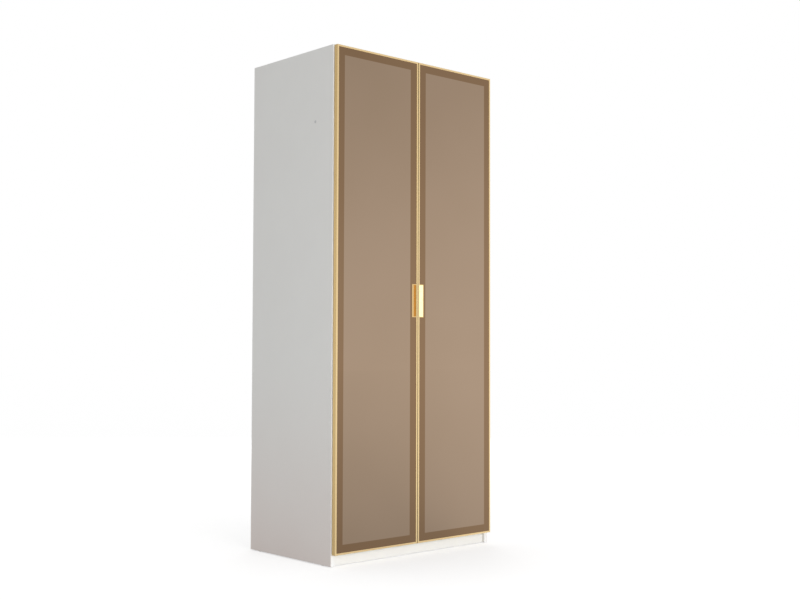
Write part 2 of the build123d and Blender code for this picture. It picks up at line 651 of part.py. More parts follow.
def hinge_cup(level):
    """Pocket let into the back of the stile, with an ear above and below for its screws."""
    shell = block((CUP_LEFT, CUP_RIGHT), (CUP_FRONT, DOOR_BACK), (level - CUP_HALF, level + CUP_HALF))
    pocket = block((CUP_LEFT + CUP_WALL, CUP_RIGHT - CUP_WALL), (CUP_FRONT + CUP_FLOOR, DOOR_BACK + SLACK),
                   (level - CUP_POCKET_LENGTH / 2, level + CUP_POCKET_LENGTH / 2))
    across = (EAR_MID_X - EAR_WIDTH / 2, EAR_MID_X + EAR_WIDTH / 2)
    proud = (DOOR_BACK, DOOR_BACK + EAR_THICKNESS)
    ears = [block(across, proud, (level - CUP_HALF - EAR_LENGTH, level - CUP_POCKET_LENGTH / 2)),
            block(across, proud, (level + CUP_POCKET_LENGTH / 2, level + CUP_HALF + EAR_LENGTH))]
    return (shell - pocket) + ears - [hinge_pin(level, PIN_FIT), *cup_screws(FIT)]


def hinge_pin(level, play=0.0):
    length = CUP_POCKET_LENGTH + 2 * PIN_SEAT
    return rod(PIN_RADIUS + play, (PIVOT_X, PIVOT_Y, level - length / 2), Z_AXIS, length)


def finger_pull():
    """A tray whose floor slopes down from the mirror's face to a finger hold behind the stile's lip."""
    beside_lip = LIP_WIDTH + PULL_PLAY
    slope_start = PULL_BODY_U - PULL_WALL
    wall_face = PULL_NEAR_U + PULL_WALL
    body = pull_bar(((PULL_NEAR_U, GLASS_FRONT_V), (PULL_BODY_U, GLASS_FRONT_V),
                     (PULL_BODY_U, PULL_FACE_V + PULL_FLOOR), (PULL_NEAR_U, PULL_DEPTH + PULL_FLOOR)),
                    PULL_BODY_HALF)
    rim = pull_bar(((beside_lip, PULL_FACE_V), (PULL_FAR, PULL_FACE_V), (PULL_FAR, GLASS_FRONT_V),
                    (beside_lip, GLASS_FRONT_V)), PULL_HALF)
    rim = fillet(rim.faces().sort_by(Axis.Y)[0].edges(), PULL_RIM_ROUNDING)
    bosses = [rod(PULL_BOSS_RADIUS, (PULL_BOSS_X, DOOR_FRONT + CHAMBER_BACK_V, level), TO_FRONT,
                  CHAMBER_BACK_V - GLASS_FRONT_V) for level in PULL_BOSS_LEVELS]
    recess = pull_bar(((slope_start, PULL_FACE_V), (wall_face, PULL_DEPTH), (wall_face, -SLACK),
                       (slope_start, -SLACK)), PULL_BODY_HALF - PULL_WALL)
    return body + rim + bosses - [recess, *pull_screws(FIT)]


LEFT_DOOR = {
    "hinge_stile": hinge_stile(),
    "meeting_stile": meeting_stile(),
    "top_rail": top_rail(),
    "bottom_rail": bottom_rail(),
    "mirror": mirror_pane(),
    "mirror_backing": mirror_backing(),
    "glazing_tape": glazing_tape(),
    "corner_keys": corner_keys(),
    "corner_screws": group(corner_key_screws()),
    "hinge_cups": group(hinge_cup(level) for level in HINGE_LEVELS),
    "hinge_pins": group(hinge_pin(level) for level in HINGE_LEVELS),
    "cup_screws": group(cup_screws()),
    "finger_pull": finger_pull(),
    "pull_screws": group(pull_screws()),
}
LEFT_HINGES = {
    "hinge_plates": group(hinge_plate(level) for level in HINGE_LEVELS),
    "hinge_arms": group(hinge_arm(level) for level in HINGE_LEVELS),
}
LEFT_BOARDS = {
    "side_panel": side_panel(),
    "back_panel": back_panel(),
}
NODES = {
    "top_panel": top_panel(),
    "bottom_panel": bottom_panel(),
    "hat_shelf": hat_shelf(),
    "kickboard": kickboard(),
    "rear_plinth_rail": rear_plinth_rail(),
    "plinth_support": plinth_support(),
    "rear_top_rail": rear_top_rail(),
    "back_joint_strip": back_joint_strip(),
    "back_panel_screws": group(back_screws()),
    "cam_discs": cam_discs(),
    "cam_bolts": group(cam_bolts()),
    "wood_dowels": group(dowels()),
    "shelf_screws": shelf_screws(),
    "screw_caps": screw_caps(),
    "floor_glides": group(glides()),
    "door_bumpers": door_bumpers(),
    "hanging_rail": hanging_rail(),
    "rail_sockets": rail_sockets(),
    "rail_socket_screws": rail_socket_screws(),
    "hinge_plate_screws": hinge_plate_screws(),
    "hinge_arm_screws": hinge_arm_screws(),
}
for half in (LEFT_BOARDS, LEFT_HINGES, LEFT_DOOR):
    for name, piece in half.items():
        NODES["left_" + name] = piece
        NODES["right_" + name] = mirror(piece, about=Plane.YZ)

to_origin = Pos(0, -(DOOR_FRONT + CARCASS_DEPTH) / 2, 0)

os.makedirs("parts", exist_ok=True)
for name, piece in NODES.items():
    export_step(to_origin * piece, f"parts/{name}.step")
print(f"{len(NODES)} nodes, carcass front at y = {to_origin.position.Y:.3f}, "
      f"pivot at ({PIVOT_X:.2f}, {PIVOT_Y + to_origin.position.Y:.3f}), hinge levels {HINGE_LEVELS}")
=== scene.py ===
import json
import math

import bpy
import numpy as np
from mathutils import Matrix, Vector


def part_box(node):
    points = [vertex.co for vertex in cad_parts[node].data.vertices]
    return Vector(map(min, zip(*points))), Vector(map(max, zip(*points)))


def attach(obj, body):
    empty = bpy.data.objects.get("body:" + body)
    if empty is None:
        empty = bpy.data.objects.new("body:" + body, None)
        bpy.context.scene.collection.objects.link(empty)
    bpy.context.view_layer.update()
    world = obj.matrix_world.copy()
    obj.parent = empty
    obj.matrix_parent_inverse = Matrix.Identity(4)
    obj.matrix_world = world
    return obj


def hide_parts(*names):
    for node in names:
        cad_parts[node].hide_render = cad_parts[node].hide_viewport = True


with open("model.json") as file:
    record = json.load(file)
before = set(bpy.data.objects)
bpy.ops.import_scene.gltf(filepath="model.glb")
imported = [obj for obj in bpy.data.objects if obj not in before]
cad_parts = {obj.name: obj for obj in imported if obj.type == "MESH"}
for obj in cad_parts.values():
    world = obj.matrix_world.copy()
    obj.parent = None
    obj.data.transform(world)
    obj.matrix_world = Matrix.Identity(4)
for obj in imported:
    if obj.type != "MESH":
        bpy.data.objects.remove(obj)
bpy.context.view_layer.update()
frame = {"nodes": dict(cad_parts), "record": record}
nodes = frame["nodes"]
mm = 0.001
xAxis, yAxis, zAxis = range(3)
print("frame loaded:", len(nodes), "solids")

# outer edges that the paint follows; x is counted from the middle, so both doors share one set, and the
# carcass, which has no edge at the middle, gets a low x that is out of reach
noEdge = -1.0
stileLow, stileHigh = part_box("left_hinge_stile")
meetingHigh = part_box("left_meeting_stile")[1]
sideLow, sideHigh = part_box("left_side_panel")
pullLow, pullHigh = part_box("left_finger_pull")
doorEdges = {
    "low": (-meetingHigh.x, stileLow.y, stileLow.z),
    "high": (-stileLow.x, stileHigh.y, stileHigh.z),
}
carcassEdges = {
    "low": (noEdge, sideLow.y, sideLow.z),
    "high": (-sideLow.x, sideHigh.y, sideHigh.z),
}
pullMiddle = (-(pullLow.x + pullHigh.x) / 2, pullLow.y, (pullLow.z + pullHigh.z) / 2)


# shader nodes

# one node with its settings; a value that is a socket gets linked, any other is typed in
def putNode(tree, kind, values=(), **settings):
    node = tree.nodes.new(kind)
    for name, value in settings.items():
        setattr(node, name, value)
    for key, value in dict(values).items():
        if isinstance(value, bpy.types.NodeSocket):
            tree.links.new(value, node.inputs[key])
        else:
            node.inputs[key].default_value = value
    return node


# one Math node on its terms in order
def calc(tree, operation, *terms):
    return putNode(tree, "ShaderNodeMath", enumerate(terms), operation=operation).outputs[0]


# a smooth step from one level to another as the value crosses a range
def ramp(tree, value, start, end, fromLevel=0.0, toLevel=1.0):
    values = {"Value": value, "From Min": start, "From Max": end, "To Min": fromLevel, "To Max": toLevel}
    return putNode(tree, "ShaderNodeMapRange", values, interpolation_type="SMOOTHSTEP").outputs[0]


# colour a where the share is 0, colour b where it is 1; 6, 7 and 2 are the node's colour sockets
def mixTone(tree, share, a, b):
    values = {0: share, 6: a, 7: b}
    return putNode(tree, "ShaderNodeMix", values, data_type="RGBA").outputs[2]


# cloudy noise, about 0 to 1
def cloud(tree, vector, scale, detail, roughness):
    values = {"Vector": vector, "Scale": scale, "Detail": detail, "Roughness": roughness}
    return putNode(tree, "ShaderNodeTexNoise", values).outputs[0]


# an empty node group with its named inputs and outputs
def newGroup(name, inputs, outputs):
    tree = bpy.data.node_groups.new(name, "ShaderNodeTree")
    kinds = {"value": "NodeSocketFloat", "vector": "NodeSocketVector"}
    for side, sockets in (("INPUT", inputs), ("OUTPUT", outputs)):
        for socketName, kind in sockets.items():
            tree.interface.new_socket(socketName, in_out=side, socket_type=kinds[kind])
    return tree, tree.nodes.new("NodeGroupInput").outputs, tree.nodes.new("NodeGroupOutput").inputs


pearl = {
    "pits": {"detail": 3.0, "roughness": 0.6},
    "drift": {"scale": 4.5, "detail": 3.0, "roughness": 0.55},
}


# pressed facing: the mean of a tight noise and of small cells gives its pits, a slow noise drifts its tone
def makePearlGrain():
    tree, given, result = newGroup(
        "pearlGrain", {"Vector": "vector", "Scale": "value"}, {"Height": "value", "Tone": "value"})
    pits = cloud(tree, given["Vector"], given["Scale"], **pearl["pits"])
    cells = putNode(tree, "ShaderNodeTexVoronoi", {"Vector": given["Vector"], "Scale": given["Scale"]},
                    feature="SMOOTH_F1").outputs[0]
    height = calc(tree, "MULTIPLY", calc(tree, "ADD", cells, pits), 0.5)
    tree.links.new(height, result["Height"])
    tree.links.new(cloud(tree, given["Vector"], **pearl["drift"]), result["Tone"])
    return tree


brush = {
    "lines": {"scale": 1.0, "detail": 4.0, "roughness": 0.65},
    "drift": {"scale": 0.06, "detail": 2.0, "roughness": 0.5},
}


# brushed metal: noise on a vector stretched along the brush, so that it becomes long thin lines
def makeBrushLines():
    tree, given, result = newGroup(
        "brushLines", {"Vector": "vector", "Stretch": "vector"}, {"Lines": "value", "Drift": "value"})
    stretched = putNode(tree, "ShaderNodeVectorMath", {0: given["Vector"], 1: given["Stretch"]},
                        operation="MULTIPLY").outputs[0]
    tree.links.new(cloud(tree, stretched, **brush["lines"]), result["Lines"])
    tree.links.new(cloud(tree, stretched, **brush["drift"]), result["Drift"])
    return tree


rubAndHighlightBreaks = {
    "breaks": {"scale": 38.0, "detail": 4.0, "roughness": 0.65},
    "breakRange": (0.38, 0.68),
}


# lighter edges of a box, as wear and painted highlight: the second smallest of the three distances to its
# faces is small only near an edge
def makeArrisRubAndHighlight():
    inputs = {"Vector": "vector", "Low": "vector", "High": "vector", "Width": "value"}
    tree, given, result = newGroup("arrisRubAndHighlight", inputs, {"RubAndHighlight": "value"})
    place, low, high = (putNode(tree, "ShaderNodeSeparateXYZ", {0: given[key]}).outputs
                        for key in ("Vector", "Low", "High"))
    reach = [calc(tree, "ABSOLUTE", place[0]), place[1], place[2]]
    gaps = []
    for axis in range(3):
        toLow = calc(tree, "ABSOLUTE", calc(tree, "SUBTRACT", reach[axis], low[axis]))
        toHigh = calc(tree, "ABSOLUTE", calc(tree, "SUBTRACT", reach[axis], high[axis]))
        gaps.append(calc(tree, "MINIMUM", toLow, toHigh))
    lesser = calc(tree, "MINIMUM", gaps[0], gaps[1])
    greater = calc(tree, "MAXIMUM", gaps[0], gaps[1])
    second = calc(tree, "MAXIMUM", lesser, calc(tree, "MINIMUM", greater, gaps[2]))
    near = ramp(tree, second, 0.0, given["Width"], 1.0, 0.0)
    broken = ramp(tree, cloud(tree, given["Vector"], **rubAndHighlightBreaks["breaks"]), *rubAndHighlightBreaks["breakRange"])
    tree.links.new(calc(tree, "MULTIPLY", near, broken), result["RubAndHighlight"])
    return tree


paintedShadeBreaks = {
    "patches": {"scale": 3.0, "detail": 4.0, "roughness": 0.6},
    "patchRange": (0.2, 0.8),
    "faintestShade": 0.8,
}


# painted shade that deepens towards the floor: a power of the share of the reach that is left, broken by
# noise
def makePaintedFloorShade():
    inputs = {"Vector": "vector", "Reach": "value", "Fall": "value"}
    tree, given, result = newGroup("paintedFloorShade", inputs, {"PaintedShade": "value"})
    height = putNode(tree, "ShaderNodeSeparateXYZ", {0: given["Vector"]}).outputs[2]
    left = calc(tree, "SUBTRACT", 1.0, calc(tree, "DIVIDE", height, given["Reach"]))
    shadeAmount = calc(tree, "POWER", calc(tree, "MAXIMUM", left, 0.0), given["Fall"])
    patches = cloud(tree, given["Vector"], **paintedShadeBreaks["patches"])
    broken = ramp(tree, patches, *paintedShadeBreaks["patchRange"], paintedShadeBreaks["faintestShade"])
    tree.links.new(calc(tree, "MULTIPLY", shadeAmount, broken), result["PaintedShade"])
    return tree


touch = {
    "smears": {"scale": 55.0, "detail": 3.0, "roughness": 0.55},
    "smearRange": (0.5, 0.72),
}


# finger marks: smears of noise that fade with the distance from the place that hands reach for
def makeTouchMarks():
    tree, given, result = newGroup(
        "touchMarks", {"Vector": "vector", "Centre": "vector", "Reach": "value"}, {"Marks": "value"})
    place = putNode(tree, "ShaderNodeSeparateXYZ", {0: given["Vector"]}).outputs
    across = calc(tree, "ABSOLUTE", place[0])
    half = putNode(tree, "ShaderNodeCombineXYZ", {0: across, 1: place[1], 2: place[2]}).outputs[0]
    away = putNode(tree, "ShaderNodeVectorMath", {0: half, 1: given["Centre"]}, operation="DISTANCE")
    fade = ramp(tree, away.outputs["Value"], 0.0, given["Reach"], 1.0, 0.0)
    smears = ramp(tree, cloud(tree, given["Vector"], **touch["smears"]), *touch["smearRange"])
    tree.links.new(calc(tree, "MULTIPLY", fade, smears), result["Marks"])
    return tree


pearlGrain = makePearlGrain()
brushLines = makeBrushLines()
arrisRubAndHighlight = makeArrisRubAndHighlight()
paintedFloorShade = makePaintedFloorShade()
touchMarks = makeTouchMarks()
print("shader groups ready:", len(bpy.data.node_groups))


# a material with its shader and the object coordinates, which are metres in the frame
def newFinish(name, **constants):
    material = bpy.data.materials.new(name)
    material.use_nodes = True
    tree = material.node_tree
    shader = tree.nodes["Principled BSDF"]
    for socketName, value in constants.items():
        shader.inputs[socketName].default_value = value
    place = putNode(tree, "ShaderNodeTexCoord").outputs["Object"]
    return material, tree, shader, place


# one use of a node group with its own values
def useGroup(tree, group, **values):
    return putNode(tree, "ShaderNodeGroup", values, node_tree=group).outputs


# heights to a surface normal
def addBump(tree, shader, height, distance, strength):
    values = {"Strength": strength, "Distance": distance, "Height": height}
    bump = putNode(tree, "ShaderNodeBump", values)
    tree.links.new(bump.outputs[0], shader.inputs["Normal"])


# one output to one socket of the shader
def paint(tree, shader, socketName, source):
    tree.links.new(source, shader.inputs[socketName])


# finishes

boardFinish = {
    "white": (0.857, 0.855, 0.832, 1),
    "shade": (0.844, 0.841, 0.818, 1),
    # tone of the painted shade, darker and warmer, low on the outer faces
    "paintedShade": (0.784, 0.704, 0.665, 1),
    "paintedShadeReach": 0.85,
    "paintedShadeFall": 1.5,
    "paintedShadeSkin": 4.0 * mm,
    # edge colour for wear and painted highlight
    "rubAndHighlight": (0.900, 0.900, 0.890, 1),
    "rubAndHighlightWidth": 3.0 * mm,
    "rubAndHighlightShare": 0.6,
    "pearlScale": 950.0,
    "pearlDepth": 0.05 * mm,
    "pearlBump": 0.6,
    "toneRange": (0.3, 0.7),
    "glossRange": (0.25, 0.75),
    "smooth": 0.40,
    "matt": 0.54,
}


# white facing: two near whites drifting into each other, darker and warmer low down on the outer faces by a
# painted shade, and lighter on the outer edges by wear and painted highlight
def makeBoardWhite(name, values):
    material, tree, shader, place = newFinish(name)
    grain = useGroup(tree, pearlGrain, Vector=place, Scale=values["pearlScale"])
    # painted shade: a mask that deepens towards the floor
    paintedShade = useGroup(tree, paintedFloorShade, Vector=place, Reach=values["paintedShadeReach"],
                    Fall=values["paintedShadeFall"])["PaintedShade"]
    across = calc(tree, "ABSOLUTE", putNode(tree, "ShaderNodeSeparateXYZ", {0: place}).outputs[0])
    outside = ramp(tree, across, carcassEdges["high"][0] - values["paintedShadeSkin"], carcassEdges["high"][0])
    rubAndHighlight = useGroup(tree, arrisRubAndHighlight, Vector=place, Low=carcassEdges["low"], High=carcassEdges["high"],
                   Width=values["rubAndHighlightWidth"])["RubAndHighlight"]
    tone = mixTone(tree, ramp(tree, grain["Tone"], *values["toneRange"]), values["shade"], values["white"])
    # painted shade mixed in low down on the outer faces
    paintedShaded = mixTone(tree, calc(tree, "MULTIPLY", paintedShade, outside), tone, values["paintedShade"])
    # wear and painted highlight: lighter along the outer edges
    rubbedAndHighlit = calc(tree, "MULTIPLY", rubAndHighlight, values["rubAndHighlightShare"])
    gloss = ramp(tree, grain["Tone"], *values["glossRange"], values["smooth"], values["matt"])
    paint(tree, shader, "Base Color", mixTone(tree, rubbedAndHighlit, paintedShaded, values["rubAndHighlight"]))
    paint(tree, shader, "Roughness", gloss)
    addBump(tree, shader, grain["Height"], values["pearlDepth"], values["pearlBump"])
    return material


edgingFinish = dict(boardFinish, white=(0.862, 0.862, 0.850, 1), shade=(0.850, 0.849, 0.837, 1),
                    pearlScale=2200.0, pearlDepth=0.02 * mm, smooth=0.30, matt=0.40)

backFinish = {
    "white": (0.840, 0.840, 0.825, 1),
    "shade": (0.780, 0.778, 0.760, 1),
    "fibre": (260.0, 260.0, 90.0),
    "fibreDepth": 0.06 * mm,
    "fibreBump": 0.7,
    "toneRange": (0.25, 0.7),
    "glossRange": (0.3, 0.7),
    "smooth": 0.50,
    "matt": 0.66,
}


# lacquered thin board: pressed fibres showing through as short upright flecks
def makeBackWhite(values):
    material, tree, shader, place = newFinish("backWhite")
    fibres = useGroup(tree, brushLines, Vector=place, Stretch=values["fibre"])
    tone = mixTone(tree, ramp(tree, fibres["Lines"], *values["toneRange"]), values["shade"], values["white"])
    gloss = ramp(tree, fibres["Drift"], *values["glossRange"], values["smooth"], values["matt"])
    paint(tree, shader, "Base Color", tone)
    paint(tree, shader, "Roughness", gloss)
    addBump(tree, shader, fibres["Lines"], values["fibreDepth"], values["fibreBump"])
    return material


goldFinish = {
    "bright": (0.870, 0.640, 0.310, 1),
    "deep": (0.790, 0.560, 0.245, 1),
    # edge colour for wear and painted highlight
    "rubAndHighlight": (0.970, 0.770, 0.450, 1),
    "rubAndHighlightWidth": 1.6 * mm,
    # colour of the painted sheen on the front lip
    "lip": (0.990, 0.750, 0.400, 1),
    "lipShare": 0.95,
    "lipDepth": (1.2 * mm, 2.4 * mm),
    "fine": 2600.0,
    "along": 14.0,
    "lineDepth": 0.012 * mm,
    "lineBump": 0.5,
    "toneRange": (0.25, 0.75),
    "driftRange": (0.3, 0.8),
    "driftShare": 0.35,
    "glossRange": (0.2, 0.8),
    "smooth": 0.24,
    "matt": 0.38,
}


# anodised bar: brush lines along the bar shift colour and gloss; the front lip is lighter by a painted sheen,
# and the arrises by wear and painted highlight
def makeGoldBar(name, alongAxis, values):
    material, tree, shader, place = newFinish(name, Metallic=1.0)
    stretch = [values["fine"]] * 3
    stretch[alongAxis] = values["along"]
    lines = useGroup(tree, brushLines, Vector=place, Stretch=stretch)
    # wear and painted highlight: lighter gold along the arrises
    rubAndHighlight = useGroup(tree, arrisRubAndHighlight, Vector=place, Low=doorEdges["low"], High=doorEdges["high"],
                   Width=values["rubAndHighlightWidth"])["RubAndHighlight"]
    tone = mixTone(tree, ramp(tree, lines["Lines"], *values["toneRange"]), values["deep"], values["bright"])
    drift = ramp(tree, lines["Drift"], *values["driftRange"], 0.0, values["driftShare"])
    drifted = mixTone(tree, drift, tone, values["bright"])
    depth = calc(tree, "SUBTRACT", putNode(tree, "ShaderNodeSeparateXYZ", {0: place}).outputs[1],
                 doorEdges["low"][1])
    # painted sheen: the front lip of the bar is painted paler
    onPaintedLipSheen = ramp(tree, depth, *values["lipDepth"], values["lipShare"], 0.0)
    lipped = mixTone(tree, onPaintedLipSheen, drifted, values["lip"])
    gloss = ramp(tree, lines["Lines"], *values["glossRange"], values["smooth"], values["matt"])
    paint(tree, shader, "Base Color", mixTone(tree, rubAndHighlight, lipped, values["rubAndHighlight"]))
    paint(tree, shader, "Roughness", gloss)
    addBump(tree, shader, lines["Lines"], values["lineDepth"], values["lineBump"])
    return material


pullFinish = {
    "bright": (0.900, 0.640, 0.300, 1),
    "deep": (0.840, 0.565, 0.235, 1),
    "stretch": (1800.0, 1800.0, 25.0),
    "lineDepth": 0.004 * mm,
    "lineBump": 0.4,
    "toneRange": (0.2, 0.8),
    "polish": 0.08,
    "worn": 0.17,
    "touchReach": 0.10,
}


# polished pull: faint drawing lines, with finger marks that dull the shine
def makePullGold(values):
    material, tree, shader, place = newFinish("pullGold", Metallic=1.0)
    lines = useGroup(tree, brushLines, Vector=place, Stretch=values["stretch"])
    marks = useGroup(tree, touchMarks, Vector=place, Centre=pullMiddle, Reach=values["touchReach"])["Marks"]
    tone = mixTone(tree, ramp(tree, lines["Lines"], *values["toneRange"]), values["deep"], values["bright"])
    paint(tree, shader, "Base Color", tone)
    paint(tree, shader, "Roughness", ramp(tree, marks, 0.0, 1.0, values["polish"], values["worn"]))
    addBump(tree, shader, lines["Lines"], values["lineDepth"], values["lineBump"])
    return material


mirrorFinish = {
    "field": (0.391, 0.285, 0.203, 1),
    "fieldShade": (0.375, 0.272, 0.191, 1),
    "border": (0.272, 0.173, 0.100, 1),
    "borderShade": (0.260, 0.162, 0.092, 1),
    "borderWidth": 39.0 * mm,
    "meetingBorder": 42.5 * mm,
    "borderSoft": 0.6 * mm,
    "clean": 0.015,
    "smeared": 0.11,
    "touchReach": 0.26,
    "drift": {"scale": 1.6, "detail": 2.0, "roughness": 0.5},
    "driftRange": (0.3, 0.7),
    "wave": {"scale": 5.0, "detail": 1.0, "roughness": 0.4},
    "waveDepth": 0.03 * mm,
    "waveBump": 0.3,
}


# bronze mirror: the border is where the distance to the door's nearest edge is under the border's width,
# with the distance to the meeting edge scaled down by the ratio of the two widths
def makeBronzeMirror(values):
    material, tree, shader, place = newFinish("bronzeMirror", Metallic=1.0)
    spot = putNode(tree, "ShaderNodeSeparateXYZ", {0: place}).outputs
    across = calc(tree, "ABSOLUTE", spot[0])
    fromMeeting = calc(tree, "MULTIPLY", calc(tree, "SUBTRACT", across, doorEdges["low"][0]),
                       values["borderWidth"] / values["meetingBorder"])
    fromHinge = calc(tree, "SUBTRACT", doorEdges["high"][0], across)
    fromFoot = calc(tree, "SUBTRACT", spot[2], doorEdges["low"][2])
    fromHead = calc(tree, "SUBTRACT", doorEdges["high"][2], spot[2])
    inset = calc(tree, "MINIMUM", calc(tree, "MINIMUM", fromMeeting, fromHinge),
                 calc(tree, "MINIMUM", fromFoot, fromHead))
    inField = ramp(tree, inset, values["borderWidth"] - values["borderSoft"],
                   values["borderWidth"] + values["borderSoft"])
    drift = ramp(tree, cloud(tree, place, **values["drift"]), *values["driftRange"])
    field = mixTone(tree, drift, values["fieldShade"], values["field"])
    border = mixTone(tree, drift, values["borderShade"], values["border"])
    marks = useGroup(tree, touchMarks, Vector=place, Centre=pullMiddle, Reach=values["touchReach"])["Marks"]
    paint(tree, shader, "Base Color", mixTone(tree, inField, border, field))
    paint(tree, shader, "Roughness", ramp(tree, marks, 0.0, 1.0, values["clean"], values["smeared"]))
    addBump(tree, shader, cloud(tree, place, **values["wave"]), values["waveDepth"], values["waveBump"])
    return material


backingFinish = {
    "white": (0.780, 0.780, 0.765, 1),
    "thread": (0.700, 0.700, 0.690, 1),
    "threads": 420.0,
    "threadDetail": 1.0,
    "threadWander": 0.4,
    "depth": 0.05 * mm,
    "bump": 0.5,
    "matt": 0.62,
}


# safety sheet: two crossing sets of even waves make its woven film
def makeBackingSheet(values):
    material, tree, shader, place = newFinish("backingSheet", Roughness=values["matt"])
    spacing = {"Vector": place, "Scale": values["threads"], "Distortion": values["threadWander"],
               "Detail": values["threadDetail"]}
    across, upright = (putNode(tree, "ShaderNodeTexWave", spacing, bands_direction=side).outputs["Fac"]
                       for side in ("X", "Z"))
    weave = calc(tree, "MULTIPLY", across, upright)
    paint(tree, shader, "Base Color", mixTone(tree, weave, values["thread"], values["white"]))
    addBump(tree, shader, weave, values["depth"], values["bump"])
    return material


# finishes of one family: a grainy surface between two tones and two levels of gloss
grainyFinishes = {
    "nickelSteel": {"dark": (0.56, 0.55, 0.53, 1), "light": (0.70, 0.69, 0.67, 1), "scale": 900.0,
                    "depth": 0.02 * mm, "smooth": 0.20, "matt": 0.36, "metal": 1.0},
    "zincScrew": {"dark": (0.58, 0.58, 0.58, 1), "light": (0.74, 0.74, 0.73, 1), "scale": 1500.0,
                  "depth": 0.015 * mm, "smooth": 0.24, "matt": 0.42, "metal": 1.0},
    "castZinc": {"dark": (0.40, 0.40, 0.41, 1), "light": (0.54, 0.54, 0.55, 1), "scale": 700.0,
                 "depth": 0.08 * mm, "smooth": 0.42, "matt": 0.62, "metal": 1.0},
    "railChrome": {"dark": (0.75, 0.75, 0.76, 1), "light": (0.79, 0.79, 0.80, 1), "scale": 90.0,
                   "depth": 0.003 * mm, "smooth": 0.08, "matt": 0.12, "metal": 1.0},
    "capGrey": {"dark": (0.57, 0.57, 0.57, 1), "light": (0.65, 0.65, 0.65, 1), "scale": 1800.0,
                "depth": 0.03 * mm, "smooth": 0.42, "matt": 0.58, "metal": 0.0},
    "whitePlastic": {"dark": (0.78, 0.78, 0.76, 1), "light": (0.85, 0.85, 0.84, 1), "scale": 1400.0,
                     "depth": 0.03 * mm, "smooth": 0.34, "matt": 0.50, "metal": 0.0},
    "foamTape": {"dark": (0.015, 0.015, 0.016, 1), "light": (0.060, 0.060, 0.062, 1), "scale": 1100.0,
                 "depth": 0.12 * mm, "smooth": 0.78, "matt": 0.95, "metal": 0.0},
    "clearSilicone": {"dark": (0.74, 0.74, 0.72, 1), "light": (0.86, 0.86, 0.85, 1), "scale": 300.0,
                      "depth": 0.01 * mm, "smooth": 0.22, "matt": 0.36, "metal": 0.0},
}
grainyFamily = {"toneRange": (0.2, 0.7), "glossRange": (0.3, 0.7), "bump": 0.6}


# grain heights lighten the tone, and the slow drift sets the gloss
def makeGrainy(name, values):
    material, tree, shader, place = newFinish(name, Metallic=values["metal"])
    grain = useGroup(tree, pearlGrain, Vector=place, Scale=values["scale"])
    light = ramp(tree, grain["Height"], *grainyFamily["toneRange"])
    gloss = ramp(tree, grain["Tone"], *grainyFamily["glossRange"], values["smooth"], values["matt"])
    paint(tree, shader, "Base Color", mixTone(tree, light, values["dark"], values["light"]))
    paint(tree, shader, "Roughness", gloss)
    addBump(tree, shader, grain["Height"], values["depth"], grainyFamily["bump"])
    return material


beechFinish = {
    "pale": (0.640, 0.470, 0.300, 1),
    "fleck": (0.430, 0.280, 0.150, 1),
    "stretch": (60.0, 1600.0, 1600.0),
    "depth": 0.05 * mm,
    "bump": 0.6,
    "toneRange": (0.30, 0.55),
    "glossRange": (0.3, 0.7),
    "smooth": 0.55,
    "matt": 0.72,
}


# raw beech: short dark flecks stretched along the dowel
def makeBeech(values):
    material, tree, shader, place = newFinish("beechWood")
    grain = useGroup(tree, brushLines, Vector=place, Stretch=values["stretch"])
    tone = mixTone(tree, ramp(tree, grain["Lines"], *values["toneRange"]), values["fleck"], values["pale"])
    gloss = ramp(tree, grain["Drift"], *values["glossRange"], values["smooth"], values["matt"])
    paint(tree, shader, "Base Color", tone)
    paint(tree, shader, "Roughness", gloss)
    addBump(tree, shader, grain["Lines"], values["depth"], values["bump"])
    return material


boardWhite = makeBoardWhite("boardWhite", boardFinish)
edgingWhite = makeBoardWhite("edgingWhite", edgingFinish)
goldUpright = makeGoldBar("goldUpright", zAxis, goldFinish)
goldLevel = makeGoldBar("goldLevel", xAxis, goldFinish)
grainy = {name: makeGrainy(name, values) for name, values in grainyFinishes.items()}
slotFinishes = {
    "white_board": boardWhite,
    "back_board": makeBackWhite(backFinish),
    "gold_aluminium": goldUpright,
    "polished_gold": makePullGold(pullFinish),
    "bronze_mirror": makeBronzeMirror(mirrorFinish),
    "safety_backing": makeBackingSheet(backingFinish),
    "black_tape": grainy["foamTape"],
    "hinge_steel": grainy["nickelSteel"],
    "plated_screws": grainy["zincScrew"],
    "zinc_casting": grainy["castZinc"],
    "rail_chrome": grainy["railChrome"],
    "grey_cap": grainy["capGrey"],
    "white_plastic": grainy["whitePlastic"],
    "clear_rubber": grainy["clearSilicone"],
    "beech": makeBeech(beechFinish),
}
ownFinishes = {
    "left_top_rail": goldLevel,
    "left_bottom_rail": goldLevel,
    "right_top_rail": goldLevel,
    "right_bottom_rail": goldLevel,
}
for part in frame["record"]["subparts"]:
    nodeName = part["node"]
    nodes[nodeName].data.materials.clear()
    nodes[nodeName].data.materials.append(ownFinishes.get(nodeName, slotFinishes[part["material_slot"]]))
print("finishes ready:", len(bpy.data.materials))


# surfaces

# rings of points joined by quads, each ring closed on itself, with a fan to one pole at either end
def closedTube(rings, poles):
    count, steps = rings.shape[:2]
    ring, step = np.meshgrid(np.arange(count - 1), np.arange(steps), indexing="ij")
    after = (step + 1) % steps
    quads = np.stack([ring * steps + step, ring * steps + after,
                      (ring + 1) * steps + after, (ring + 1) * steps + step], -1).reshape(-1, 4)
    around = np.arange(steps)
    onward = (around + 1) % steps
    last = (count - 1) * steps
    startPole = count * steps
    startFan = np.stack([np.full(steps, startPole), onward, around], -1)
    endFan = np.stack([np.full(steps, startPole + 1), last + around, last + onward], -1)
    points = np.concatenate([rings.reshape(-1, 3), np.asarray(poles, float).reshape(2, 3)])
    return points, quads, np.concatenate([startFan, endFan])


